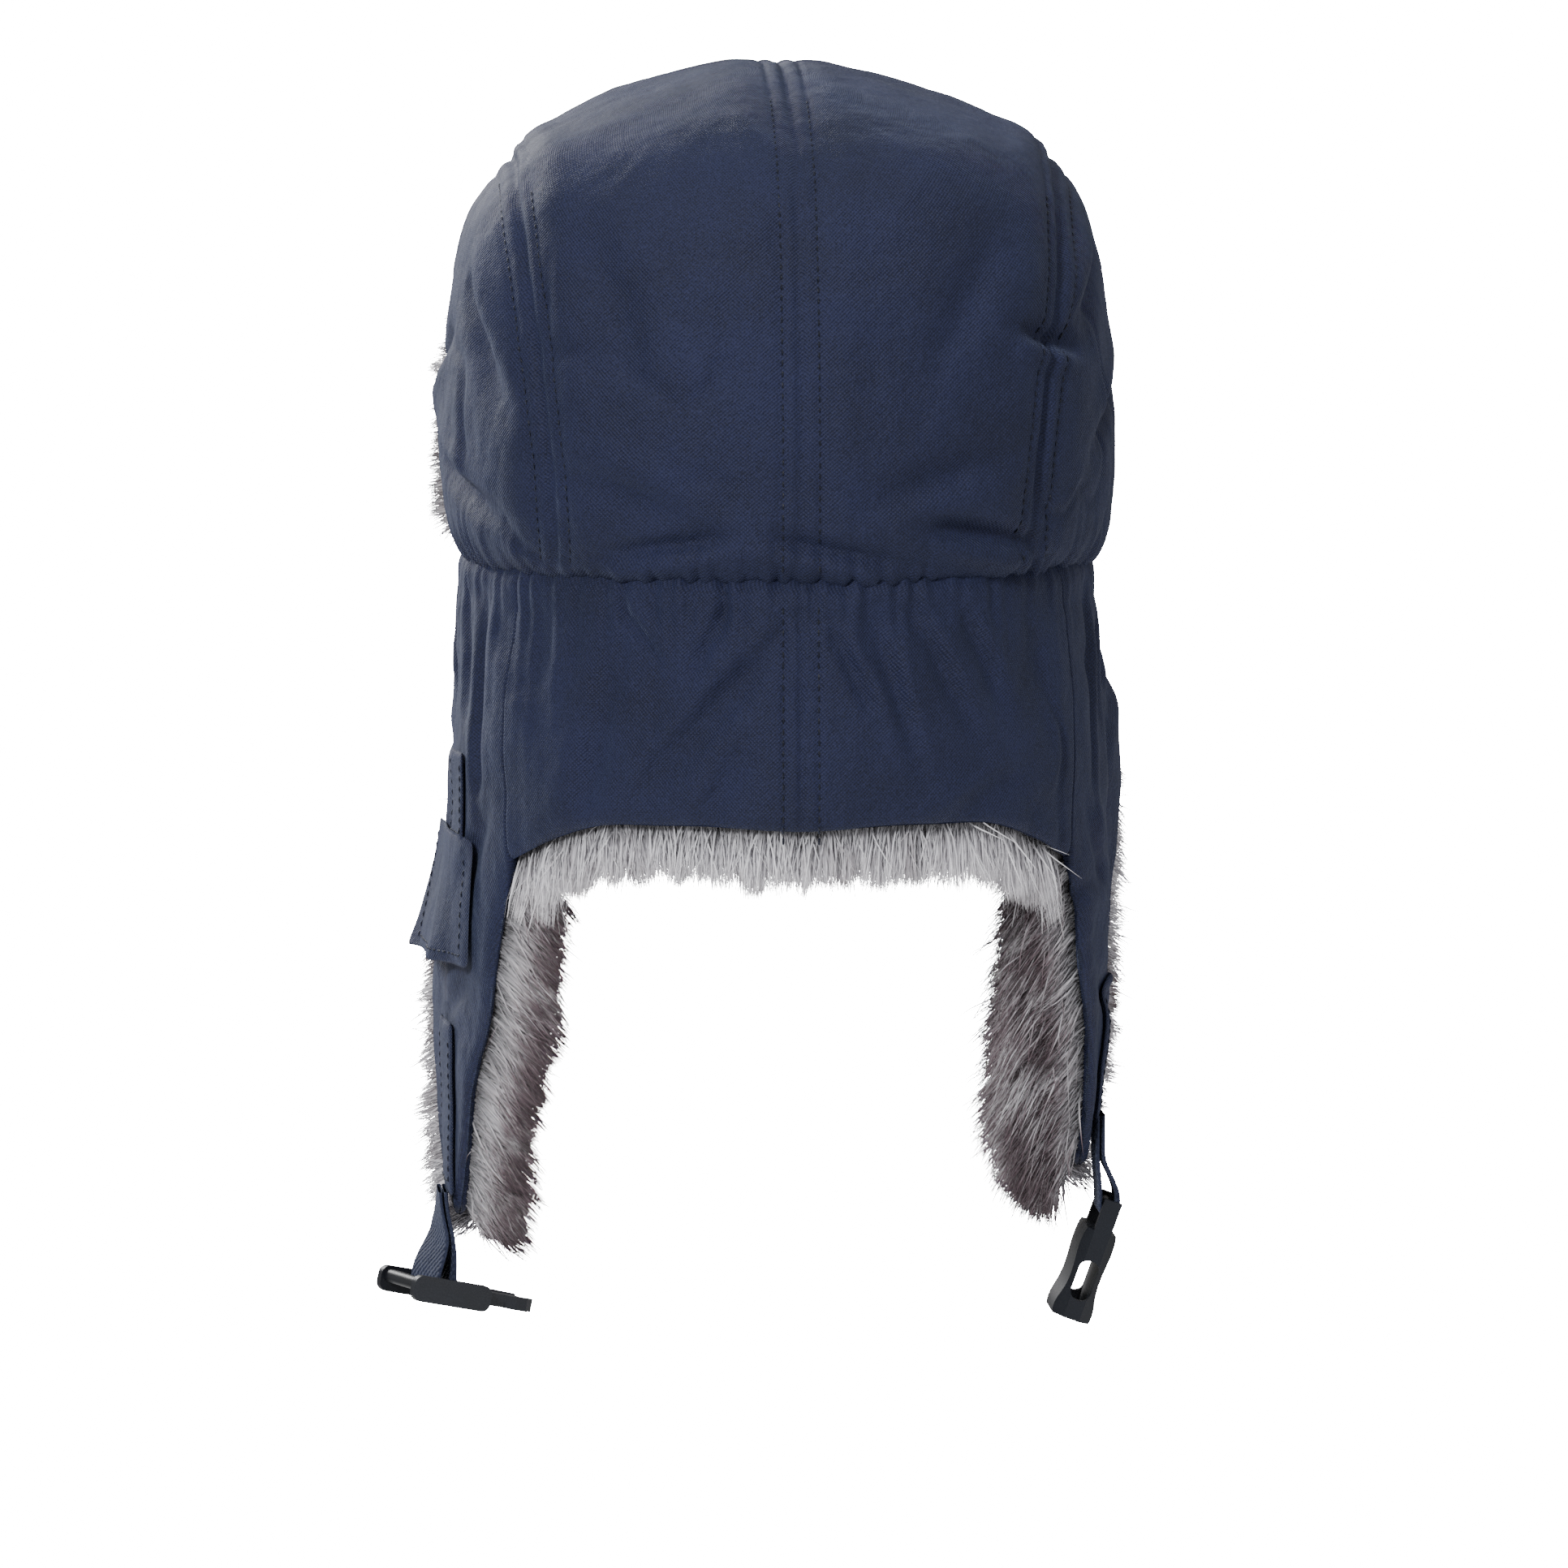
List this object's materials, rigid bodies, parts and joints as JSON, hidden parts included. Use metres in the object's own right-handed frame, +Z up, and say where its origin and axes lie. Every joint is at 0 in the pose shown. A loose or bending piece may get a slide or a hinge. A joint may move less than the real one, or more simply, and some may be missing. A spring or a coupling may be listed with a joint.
{
  "type": "trapper hat",
  "caption": "Insulated winter hat with a puffed crown, fur-lined ear and neck flaps, a turned-up front flap and a webbing chin strap with a side-release buckle.",
  "frame": {"origin": "centre of the head opening, in the plane where the crown meets the flaps", "axes": "+Z up through the crown, -Y the face side, +X the wearer's left"},
  "size_m": [0.2163, 0.2441, 0.3675],
  "materials": {
    "navy_cloth": "plain-woven nylon, soft sheen",
    "wadding": "polyester wadding",
    "lining": "quilted taffeta",
    "label": "blank woven label",
    "hook_loop": "hook-and-loop tape",
    "elastic": "knitted elastic",
    "fur": "long-pile imitation fur",
    "mesh_cloth": "open knitted mesh",
    "webbing": "woven webbing",
    "buckle_plastic": "moulded acetal, fine matte"
  },
  "bodies": {
    "crown": {"crown_panel_left": "navy_cloth", "crown_panel_right": "navy_cloth", "crown_side_left": "navy_cloth", "crown_side_right": "navy_cloth", "crown_wadding": "wadding", "crown_lining": "lining", "sweatband": "lining", "blank_label": "label", "crown_loop_patch": "hook_loop", "seam_channel": "navy_cloth", "seam_elastic": "elastic"},
    "neck_flap": {"neck_shell_left": "navy_cloth", "neck_shell_right": "navy_cloth", "neck_wadding": "wadding", "neck_fur": "fur"},
    "left_ear_flap": {"left_ear_shell": "navy_cloth", "left_ear_wadding": "wadding", "left_ear_fur": "fur", "vent_mesh": "mesh_cloth", "vent_hook_patch": "hook_loop", "vent_tab": "navy_cloth", "left_strap_casing": "navy_cloth"},
    "right_ear_flap": {"right_ear_shell": "navy_cloth", "right_ear_wadding": "wadding", "right_ear_fur": "fur", "right_strap_casing": "navy_cloth"},
    "front_flap": {"front_flap_shell": "navy_cloth", "front_flap_wadding": "wadding", "front_flap_fur": "fur", "front_hook_patch": "hook_loop"},
    "vent_cover": {"vent_cover": "navy_cloth"},
    "left_strap": {"left_strap_outer": "webbing", "left_strap_inner": "webbing"},
    "right_strap": {"right_strap_outer": "webbing", "right_strap_inner": "webbing"},
    "male_buckle": {"male_frame": "buckle_plastic"},
    "back_latch": {"latch_back": "buckle_plastic"},
    "front_latch": {"latch_front": "buckle_plastic"},
    "female_buckle": {"female_body": "buckle_plastic"}
  },
  "joints": [
    {"name": "neck_fold", "type": "hinge", "parent": "crown", "child": "neck_flap", "pos_m": [0, 0.112, -0.004], "axis": [1, 0, 0], "range_deg": [0, 150]},
    {"name": "left_ear_fold", "type": "hinge", "parent": "crown", "child": "left_ear_flap", "pos_m": [0.094, 0, -0.004], "axis": [0, -1, 0], "range_deg": [0, 150]},
    {"name": "right_ear_fold", "type": "hinge", "parent": "crown", "child": "right_ear_flap", "pos_m": [-0.094, 0, -0.004], "axis": [0, 1, 0], "range_deg": [0, 150]},
    {"name": "front_fold", "type": "hinge", "parent": "crown", "child": "front_flap", "pos_m": [0, -0.114, 0], "axis": [1, 0, 0], "range_deg": [0, 140]},
    {"name": "vent_cover_lift", "type": "hinge", "parent": "left_ear_flap", "child": "vent_cover", "pos_m": [0.0986, 0.007, -0.0789], "axis": [0, -1, 0], "range_deg": [0, 50]},
    {"name": "left_strap_swing", "type": "hinge", "parent": "left_ear_flap", "child": "left_strap", "pos_m": [0.10043, 0.006, -0.18597], "axis": [0.3746, -0.9272, 0], "range_deg": [-8, 60]},
    {"name": "right_strap_swing", "type": "hinge", "parent": "right_ear_flap", "child": "right_strap", "pos_m": [-0.09604, 0.006, -0.165], "axis": [0, 1, 0], "range_deg": [0, 70]},
    {"name": "male_swivel", "type": "hinge", "parent": "left_strap", "child": "male_buckle", "pos_m": [0.10043, 0.006, -0.21417], "axis": [0.3746, -0.9272, 0], "range_deg": [-18, 26]},
    {"name": "female_swivel", "type": "hinge", "parent": "right_strap", "child": "female_buckle", "pos_m": [-0.09604, 0.006, -0.1912], "axis": [0, 1, 0], "range_deg": [-12, 60]},
    {"name": "back_latch_squeeze", "type": "hinge", "parent": "male_buckle", "child": "back_latch", "pos_m": [0.08579, 0.00828, -0.21687], "axis": [-0.1928, -0.0779, 0.9781], "range_deg": [0, 8], "stiffness_Nm_per_rad": 0.35},
    {"name": "front_latch_squeeze", "type": "hinge", "parent": "male_buckle", "child": "front_latch", "pos_m": [0.09148, -0.00581, -0.21687], "axis": [-0.1928, -0.0779, 0.9781], "range_deg": [-8, 0], "stiffness_Nm_per_rad": 0.35}
  ],
  "couplings": [
    {"joint": "front_latch_squeeze", "follows": "back_latch_squeeze", "ratio": -1}
  ]
}
